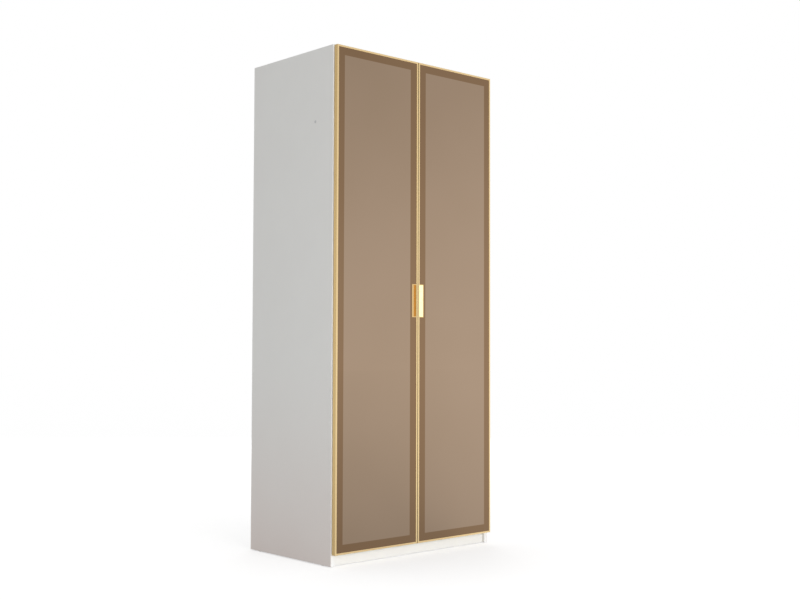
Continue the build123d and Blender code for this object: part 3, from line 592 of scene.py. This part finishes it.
# turns a local shape so that its z runs along the axis, then moves it to the place
def setOut(points, place, axis):
    turn = np.array(Vector((0, 0, 1)).rotation_difference(Vector(axis)).to_matrix())
    return points @ turn.T + np.asarray(place, float)


# a piece of the object from one or more closed shapes, each as points, quads and triangles
def addPiece(name, shapes, body, finish, stoodFor=(), smooth=True):
    allPoints = []
    allFaces = []
    offset = 0
    for points, quads, triangles in shapes:
        allPoints.append(points)
        allFaces += (quads + offset).tolist() + (triangles + offset).tolist()
        offset += len(points)
    mesh = bpy.data.meshes.new(name)
    mesh.from_pydata(np.concatenate(allPoints).tolist(), [], allFaces)
    mesh.polygons.foreach_set("use_smooth", [smooth] * len(mesh.polygons))
    mesh.update()
    mesh.materials.append(finish)
    piece = bpy.data.objects.new(name, mesh)
    bpy.context.scene.collection.objects.link(piece)
    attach(piece, body)
    if stoodFor:
        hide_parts(*stoodFor)


weldDigits = 6


# boxes of the separate solids in one node: corners that agree to the micrometre are one, and corners joined
# by triangles end up with the same lowest label
def solidBoxes(nodeName):
    mesh = nodes[nodeName].data
    mesh.calc_loop_triangles()
    corners = np.empty(len(mesh.loop_triangles) * 3, np.int32)
    mesh.loop_triangles.foreach_get("vertices", corners)
    places = np.empty(len(mesh.vertices) * 3, np.float32)
    mesh.vertices.foreach_get("co", places)
    rounded = np.round(places.reshape(-1, 3), weldDigits)
    spots, merged = np.unique(rounded, axis=0, return_inverse=True)
    triangles = merged.reshape(-1)[corners].reshape(-1, 3)
    label = np.arange(len(spots))
    settled = False
    while not settled:
        spread = label.copy()
        np.minimum.at(spread, triangles.ravel(), np.repeat(label[triangles].min(1), 3))
        settled = bool((spread == label).all())
        label = spread
    return [(spots[label == one].min(0), spots[label == one].max(0)) for one in np.unique(label)]


# a turned shape: each radius and height of the profile becomes one ring round the axis
def turned(radii, heights, steps):
    angle = np.linspace(0.0, 2 * math.pi, steps, endpoint=False)
    radii, heights = np.asarray(radii, float), np.asarray(heights, float)
    return np.stack([radii[:, None] * np.cos(angle), radii[:, None] * np.sin(angle),
                     np.broadcast_to(heights[:, None], (len(radii), steps))], -1)


# edging

edging = {
    "proud": 0.5 * mm,
    "behind": 0.95 * mm,
    "radius": 0.8 * mm,
    "arcSteps": 7,
    "uprights": ("left_side_panel", "right_side_panel"),
    "levels": ("top_panel", "bottom_panel", "hat_shelf"),
}


# a strip on a board's front edge: a flat section with two rounded front corners, carried along the edge
def edgeStrip(nodeName, alongAxis):
    low, high = (np.array(corner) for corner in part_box(nodeName))
    acrossAxis = xAxis if alongAxis == zAxis else zAxis
    half = (high[acrossAxis] - low[acrossAxis]) / 2
    arc = np.linspace(0.0, math.pi / 2, edging["arcSteps"])
    bend = edging["radius"]
    flat = half - bend
    face = edging["proud"] - bend
    across = np.concatenate([flat + bend * np.cos(arc), -flat - bend * np.sin(arc), [-half, half]])
    outward = np.concatenate([face + bend * np.sin(arc), face + bend * np.cos(arc), [-edging["behind"]] * 2])
    rings = np.empty((2, len(across), 3))
    rings[..., yAxis] = low[yAxis] - outward
    rings[..., acrossAxis] = (low[acrossAxis] + high[acrossAxis]) / 2 + across
    rings[0, :, alongAxis] = low[alongAxis]
    rings[1, :, alongAxis] = high[alongAxis]
    if alongAxis == zAxis:
        rings = rings[:, ::-1]
    return closedTube(rings, rings.mean(1))


strips = [edgeStrip(name, zAxis) for name in edging["uprights"]]
strips += [edgeStrip(name, xAxis) for name in edging["levels"]]
addPiece("edge_banding", strips, "carcass", edgingWhite, smooth=False)
print("edging on", len(strips), "boards")


# screws

screwShape = {
    "steps": 48,
    "headHeight": 1.2 * mm,
    "tip": 2.2 * mm,
    "tipRadius": 0.4,
    "tipStart": 0.2,
    "crown": 8,
    "recessRings": 11,
    "recessReach": 0.56,
    "wing": 0.13,
    "wingSoft": 0.05,
    "recessDepth": 0.80,
    "dome": 0.62,
    "skirt": 0.45,
}
panScrews = {
    "back_panel_screws": {"shank": 1.75 * mm, "axis": (0, 1, 0), "body": "carcass"},
    "hinge_plate_screws": {"shank": 3.0 * mm, "axis": (1, 0, 0), "body": "carcass"},
    "hinge_arm_screws": {"shank": 2.0 * mm, "axis": (1, 0, 0), "body": "carcass"},
    "rail_socket_screws": {"shank": 1.75 * mm, "axis": (1, 0, 0), "body": "carcass"},
    "left_corner_screws": {"shank": 2.0 * mm, "axis": (0, 1, 0), "body": "left_door"},
    "right_corner_screws": {"shank": 2.0 * mm, "axis": (0, 1, 0), "body": "right_door"},
    "left_cup_screws": {"shank": 1.75 * mm, "axis": (0, 1, 0), "body": "left_door"},
    "right_cup_screws": {"shank": 1.75 * mm, "axis": (0, 1, 0), "body": "right_door"},
    "left_pull_screws": {"shank": 2.0 * mm, "axis": (0, 1, 0), "body": "left_door"},
    "right_pull_screws": {"shank": 2.0 * mm, "axis": (0, 1, 0), "body": "right_door"},
}


# a screw: profile from the point up the shank and over the head; the drive lowers the crown inside a cross,
# where either coordinate is within the wing and the other within the reach
def screwSolid(head, height, shank, length):
    quarter = np.linspace(0.0, math.pi / 2, screwShape["crown"] + 1)[:-1]
    reach = screwShape["recessReach"] * head
    rim = head * np.cos(quarter * screwShape["dome"])
    rise = np.sin(quarter * screwShape["dome"]) / math.sin(math.pi / 2 * screwShape["dome"])
    crown = height * (screwShape["skirt"] + (1 - screwShape["skirt"]) * rise)
    inner = np.linspace(1.0, 0.0, screwShape["recessRings"] + 1)[:-1]
    foot = [screwShape["tipRadius"] * shank, shank, shank, head]
    radii = np.concatenate([foot, rim, min(rim[-1], reach) * inner])
    point = [-length + screwShape["tipStart"] * screwShape["tip"], -length + screwShape["tip"], 0.0, 0.0]
    heights = np.concatenate([point, crown, np.full(len(inner), height)])
    rings = turned(radii, heights, screwShape["steps"])
    wing, soft = screwShape["wing"] * head, screwShape["wingSoft"] * head
    x, y = np.abs(rings[..., 0]), np.abs(rings[..., 1])
    cross = np.maximum(np.clip((wing + soft - x) / soft, 0, 1) * np.clip((reach - y) / soft, 0, 1),
                       np.clip((wing + soft - y) / soft, 0, 1) * np.clip((reach - x) / soft, 0, 1))
    onTop = np.arange(len(radii))[:, None] >= len(radii) - len(inner) - 1
    rings[..., 2] -= onTop * cross * screwShape["recessDepth"] * height
    poles = [(0, 0, -length), (0, 0, height * (1 - screwShape["recessDepth"]))]
    return closedTube(rings, poles)


# every screw of a node, each set on the box of its own solid with its head towards the middle or the back
def addScrews(nodeName, values):
    shapes = []
    height = screwShape["headHeight"]
    slotName = "plated_screws"
    axis = np.array(values["axis"], float)
    along = int(np.argmax(axis))
    for low, high in solidBoxes(nodeName):
        facing = -1.0 if along == xAxis and low[xAxis] > 0 else 1.0
        sideways = yAxis if along == xAxis else xAxis
        head = (high[sideways] - low[sideways]) / 2
        length = high[along] - low[along] - height
        seat = (low + high) / 2
        seat[along] = (high[along] if facing > 0 else low[along]) - facing * height
        points, quads, triangles = screwSolid(head, height, values["shank"], length)
        shapes.append((setOut(points, seat, axis * facing), quads, triangles))
    addPiece(nodeName.replace("_screws", "_screw_set"), shapes, values["body"],
             slotFinishes[slotName], [nodeName])
    return len(shapes)


screwCount = sum(addScrews(name, values) for name, values in panScrews.items())
print("screws with cross drives:", screwCount)


# small turned pieces

dowelShape = {
    "steps": 96,
    "flutes": 16,
    "fluteDepth": 0.10,
    "fluteNarrow": 3,
    "chamfer": 1.2 * mm,
    "endShare": 0.72,
}


# a fluted dowel: the radius dips by a narrow cosine at every flute, and both ends taper
def dowelSolid(radius, length):
    chamfer, endShare = dowelShape["chamfer"], dowelShape["endShare"]
    heights = np.array([0.0, chamfer, length / 2, length - chamfer, length])
    share = np.array([endShare, 1.0, 1.0, 1.0, endShare])
    rings = turned(radius * share, heights, dowelShape["steps"])
    angle = np.linspace(0.0, 2 * math.pi, dowelShape["steps"], endpoint=False)
    wave = (1 + np.cos(dowelShape["flutes"] * angle)) / 2
    dip = dowelShape["fluteDepth"] * wave ** dowelShape["fluteNarrow"]
    rings[..., :2] *= (1 - dip)[None, :, None]
    return closedTube(rings, [(0, 0, 0), (0, 0, length)])


dowels = []
for low, high in solidBoxes("wood_dowels"):
    points, quads, triangles = dowelSolid((high[2] - low[2]) / 2, high[0] - low[0])
    start = (low[0], (low[1] + high[1]) / 2, (low[2] + high[2]) / 2)
    dowels.append((setOut(points, start, (1, 0, 0)), quads, triangles))
addPiece("fluted_dowels", dowels, "carcass", slotFinishes["beech"], ["wood_dowels"])

capShape = {
    "steps": 48,
    "plate": 0.8 * mm,
    "edge": 0.30,
    "edgeSteps": 6,
    "crown": 0.62,
    "crownSteps": 9,
    "crownInner": 0.15,
    "stem": 1.8 * mm,
    "stemEnd": 0.7,
    "stemTaper": 0.3 * mm,
}


# a cap: stem, flat underside, a rounded rim, then a crown that falls with the square of the radius
def capSolid(radius, length):
    plate, stem = capShape["plate"], capShape["stem"]
    arc = np.linspace(0.0, math.pi / 2, capShape["edgeSteps"])
    edge = capShape["edge"] * plate
    spread = np.linspace(radius - edge, capShape["crownInner"] * radius, capShape["crownSteps"])
    crown = plate * (capShape["crown"] + (1 - capShape["crown"]) * (1 - (spread / radius) ** 2))
    rim = plate * capShape["crown"] - edge
    foot = plate - length
    radii = np.concatenate([[capShape["stemEnd"] * stem, stem, stem],
                            radius - edge + edge * np.cos(arc), spread])
    heights = np.concatenate([[foot, foot + capShape["stemTaper"], 0.0], rim + edge * np.sin(arc), crown])
    return closedTube(turned(radii, heights, capShape["steps"]), [(0, 0, foot), (0, 0, plate)])


caps = []
for low, high in solidBoxes("screw_caps"):
    outward = -1.0 if low[0] < 0 else 1.0
    points, quads, triangles = capSolid((high[1] - low[1]) / 2, high[0] - low[0])
    face = low[0] if outward < 0 else high[0]
    seat = (face - outward * capShape["plate"], (low[1] + high[1]) / 2, (low[2] + high[2]) / 2)
    caps.append((setOut(points, seat, (outward, 0, 0)), quads, triangles))
addPiece("crowned_caps", caps, "carcass", slotFinishes["grey_cap"], ["screw_caps"])

glideShape = {
    "steps": 40,
    "sole": 0.80,
    "skirtSteps": 8,
    "disc": 3.0 * mm,
    "wallTop": 0.88,
    "topShare": 0.96,
    "nail": 1.2 * mm,
    "nailEnd": 0.4,
    "nailTaper": 1.5 * mm,
    "nailTip": 0.2 * mm,
}


# a glide: flat sole, quarter-round skirt up to the full radius, flat top, then the nail
def glideSolid(radius, length):
    arc = np.linspace(0.0, math.pi / 2, glideShape["skirtSteps"])
    bend = radius * (1 - glideShape["sole"])
    disc, nail = glideShape["disc"], glideShape["nail"]
    above = [radius, glideShape["topShare"] * radius, nail, nail, glideShape["nailEnd"] * nail]
    levels = [glideShape["wallTop"] * disc, disc, disc, length - glideShape["nailTaper"],
              length - glideShape["nailTip"]]
    radii = np.concatenate([radius - bend + bend * np.sin(arc), above])
    heights = np.concatenate([bend * (1 - np.cos(arc)), levels])
    return closedTube(turned(radii, heights, glideShape["steps"]), [(0, 0, 0), (0, 0, length)])


glides = []
for low, high in solidBoxes("floor_glides"):
    points, quads, triangles = glideSolid((high[0] - low[0]) / 2, high[2] - low[2])
    foot = ((low[0] + high[0]) / 2, (low[1] + high[1]) / 2, low[2])
    glides.append((setOut(points, foot, (0, 0, 1)), quads, triangles))
addPiece("skirted_glides", glides, "carcass", slotFinishes["white_plastic"],
         ["floor_glides"])

bumperShape = {"steps": 36, "wall": 0.30, "domeSteps": 12}


# a bumper: a short wall, then a quarter ellipse over to the tip
def bumperSolid(radius, length):
    arc = np.linspace(0.0, math.pi / 2, bumperShape["domeSteps"])[:-1]
    wall = bumperShape["wall"] * length
    radii = np.concatenate([[radius], radius * np.cos(arc)])
    heights = np.concatenate([[0.0], wall + (length - wall) * np.sin(arc)])
    return closedTube(turned(radii, heights, bumperShape["steps"]), [(0, 0, 0), (0, 0, length)])


bumpers = []
for low, high in solidBoxes("door_bumpers"):
    points, quads, triangles = bumperSolid((high[0] - low[0]) / 2, high[1] - low[1])
    seat = ((low[0] + high[0]) / 2, high[1], (low[2] + high[2]) / 2)
    bumpers.append((setOut(points, seat, (0, -1, 0)), quads, triangles))
addPiece("domed_bumpers", bumpers, "carcass", slotFinishes["clear_rubber"],
         ["door_bumpers"])
print("dowels, caps, glides, bumpers:", len(dowels), len(caps), len(glides), len(bumpers))


# studio

studio = {
    "floorSize": 60.0,
    "floorWhite": (0.62, 0.62, 0.62, 1),
    # painted shade on the floor near the object
    "nearShade": 0.12,
    "fill": 0.640,
    "lampAim": (0.0, 0.0, 0.90),
    "lamps": {
        "frontKey": {"place": (-0.9, -4.6, 0.95), "size": (3.2, 1.5), "power": 136.0},
        "backKey": {"place": (3.6, 4.2, 2.40), "size": (3.0, 3.0), "power": 62.0},
    },
}
# the studio as a shine shows it, in shares of full white
surround = {
    "sideLevel": 0.79,
    "frontRise": 0.33,
    "frontRange": (0.10, 0.65),
    "middleDip": 0.13,
    "middleRange": (0.66, 0.85),
    "highTone": (0.60, 0.58, 0.555, 1),
    "highRange": (-0.05, 0.45),
    # painted shadow of the object on the floor as a shine shows it
    "floorShadowDip": 0.35,
    "floorReach": 2.0,
    "stripTone": (0.56, 0.76, 1.0, 1),
    "stripGlow": 1.9,
    "stripFrom": (0.085, 0.150),
    "stripTo": (0.185, 0.275),
    "stripFoot": (-0.025, 0.035),
    "stripHead": (0.06, 0.22),
}


# level of the studio by compass direction: a step up towards the front and a small dip straight ahead;
# the strip is one soft upright patch to the right of the middle
def makeSurroundGlow():
    tree, given, result = newGroup(
        "surroundGlow", {"Vector": "vector"}, {"Level": "value", "Strip": "value"})
    levelOnly = {0: given["Vector"], 1: (1, 1, 0)}
    flat = putNode(tree, "ShaderNodeVectorMath", levelOnly, operation="MULTIPLY").outputs[0]
    unit = putNode(tree, "ShaderNodeVectorMath", {0: flat}, operation="NORMALIZE").outputs[0]
    sides = putNode(tree, "ShaderNodeSeparateXYZ", {0: unit}).outputs
    ahead = calc(tree, "MULTIPLY", sides[1], -1.0)
    frontLevel = surround["sideLevel"] + surround["frontRise"]
    rise = ramp(tree, ahead, *surround["frontRange"], surround["sideLevel"], frontLevel)
    dip = ramp(tree, ahead, *surround["middleRange"], 0.0, surround["middleDip"])
    tree.links.new(calc(tree, "SUBTRACT", rise, dip), result["Level"])
    strip = calc(tree, "MULTIPLY", ramp(tree, sides[0], *surround["stripFrom"]),
                 ramp(tree, sides[0], *surround["stripTo"], 1.0, 0.0))
    tree.links.new(calc(tree, "MULTIPLY", strip, calc(tree, "GREATER_THAN", ahead, 0.0)), result["Strip"])
    return tree


surroundGlow = makeSurroundGlow()


# floor: a plain diffuse white that keeps the shadow, lifted to white by a glow; in a shine it has the level
# of the studio, less a painted shadow, dip / (1 + distance / reach); the glow is less by a painted shade,
# shade / (1 + distance / reach) squared
def makeFloor():
    half = studio["floorSize"] / 2
    mesh = bpy.data.meshes.new("floor")
    corners = [(-half, -half, 0), (half, -half, 0), (half, half, 0), (-half, half, 0)]
    mesh.from_pydata(corners, [], [(0, 1, 2, 3)])
    floor = bpy.data.objects.new("floor", mesh)
    bpy.context.scene.collection.objects.link(floor)
    material = bpy.data.materials.new("floorPale")
    material.use_nodes = True
    tree = material.node_tree
    tree.nodes.clear()
    path = putNode(tree, "ShaderNodeLightPath").outputs
    place = putNode(tree, "ShaderNodeTexCoord").outputs["Object"]
    away = putNode(tree, "ShaderNodeVectorMath", {0: place}, operation="LENGTH").outputs["Value"]
    spread = calc(tree, "ADD", calc(tree, "DIVIDE", away, surround["floorReach"]), 1.0)
    level = useGroup(tree, surroundGlow, Vector=place)["Level"]
    # painted shadow in the shine: the floor is darker near the object
    shadowDipped = calc(tree, "SUBTRACT", level, calc(tree, "DIVIDE", surround["floorShadowDip"], spread))
    # painted shade: the glow is lowered near the object
    shaded = calc(tree, "DIVIDE", studio["nearShade"], calc(tree, "MULTIPLY", spread, spread))
    lift = calc(tree, "SUBTRACT", 1.0 - studio["floorWhite"][0] * studio["fill"], shaded)
    straight = calc(tree, "MAXIMUM", path["Is Camera Ray"], path["Is Transmission Ray"])
    plain = putNode(tree, "ShaderNodeBsdfDiffuse", {"Color": studio["floorWhite"]})
    glow = putNode(tree, "ShaderNodeEmission", {"Strength": calc(tree, "MULTIPLY", straight, lift)})
    lit = putNode(tree, "ShaderNodeAddShader", {0: plain.outputs[0], 1: glow.outputs[0]})
    shine = putNode(tree, "ShaderNodeEmission", {"Strength": shadowDipped})
    both = putNode(tree, "ShaderNodeMixShader",
                   {0: path["Is Glossy Ray"], 1: lit.outputs[0], 2: shine.outputs[0]})
    putNode(tree, "ShaderNodeOutputMaterial", {"Surface": both.outputs[0]})
    mesh.materials.append(material)


# world: an even fill for light, white where it is seen, and in a shine the level of the studio, falling off
# upwards, plus the strip between its foot and its head
def makeWorld():
    world = bpy.data.worlds.new("paleStudio")
    world.use_nodes = True
    tree = world.node_tree
    tree.nodes.clear()
    path = putNode(tree, "ShaderNodeLightPath").outputs
    direction = putNode(tree, "ShaderNodeTexCoord").outputs["Generated"]
    height = putNode(tree, "ShaderNodeSeparateXYZ", {0: direction}).outputs[2]
    glow = useGroup(tree, surroundGlow, Vector=direction)
    white = (1, 1, 1, 1)
    tone = mixTone(tree, ramp(tree, height, *surround["highRange"]), white, surround["highTone"])
    upright = calc(tree, "MULTIPLY", ramp(tree, height, *surround["stripFoot"]),
                   ramp(tree, height, *surround["stripHead"], 1.0, 0.0))
    strip = calc(tree, "MULTIPLY", calc(tree, "MULTIPLY", glow["Strip"], upright), surround["stripGlow"])
    lights = {
        "fill": {"Color": white, "Strength": studio["fill"]},
        "seen": {"Color": white, "Strength": 1.0},
        "round": {"Color": tone, "Strength": glow["Level"]},
        "strip": {"Color": surround["stripTone"], "Strength": strip},
    }
    shades = {name: putNode(tree, "ShaderNodeBackground", light).outputs[0] for name, light in lights.items()}
    shine = putNode(tree, "ShaderNodeAddShader", {0: shades["round"], 1: shades["strip"]})
    straight = calc(tree, "MAXIMUM", path["Is Camera Ray"], path["Is Transmission Ray"])
    seen = putNode(tree, "ShaderNodeMixShader", {0: straight, 1: shades["fill"], 2: shades["seen"]})
    mirrored = putNode(tree, "ShaderNodeMixShader",
                       {0: path["Is Glossy Ray"], 1: seen.outputs[0], 2: shine.outputs[0]})
    putNode(tree, "ShaderNodeOutputWorld", {"Surface": mirrored.outputs[0]})
    bpy.context.scene.world = world


# a wide soft lamp aimed at the middle of the object, which no shine shows
def makeLamp(name, values):
    lamp = bpy.data.lights.new(name, "AREA")
    lamp.shape = "RECTANGLE"
    lamp.size, lamp.size_y = values["size"]
    lamp.energy = values["power"]
    key = bpy.data.objects.new(name, lamp)
    aim = Vector(studio["lampAim"]) - Vector(values["place"])
    turn = aim.to_track_quat("-Z", "Y").to_matrix().to_4x4()
    key.matrix_world = Matrix.Translation(values["place"]) @ turn
    key.visible_camera = False
    key.visible_glossy = False
    bpy.context.scene.collection.objects.link(key)


makeFloor()
makeWorld()
for lampName, lampValues in studio["lamps"].items():
    makeLamp(lampName, lampValues)
bpy.context.scene.view_settings.view_transform = "Standard"
print("studio lit")


# camera

viewpoint = {
    "place": (-3.3439, -3.8481, 0.8738),
    "yaw": -42.297,
    "pitch": 2.379,
    "roll": 0.170,
    "focalPixels": 1149.1,
    "imageWidth": 800,
    "sensorWidth": 36.0,
}


# the lens follows from the focal length in pixels; yaw turns about the upright, pitch lifts, roll leans
def makeCamera():
    data = bpy.data.cameras.new("viewpoint")
    data.sensor_width = viewpoint["sensorWidth"]
    data.lens = data.sensor_width * viewpoint["focalPixels"] / viewpoint["imageWidth"]
    camera = bpy.data.objects.new("viewpoint", data)
    yaw, pitch, roll = (math.radians(viewpoint[key]) for key in ("yaw", "pitch", "roll"))
    turn = (Matrix.Rotation(yaw, 4, "Z") @ Matrix.Rotation(math.pi / 2 + pitch, 4, "X")
            @ Matrix.Rotation(roll, 4, "Z"))
    camera.matrix_world = Matrix.Translation(viewpoint["place"]) @ turn
    bpy.context.scene.collection.objects.link(camera)
    bpy.context.scene.camera = camera


makeCamera()
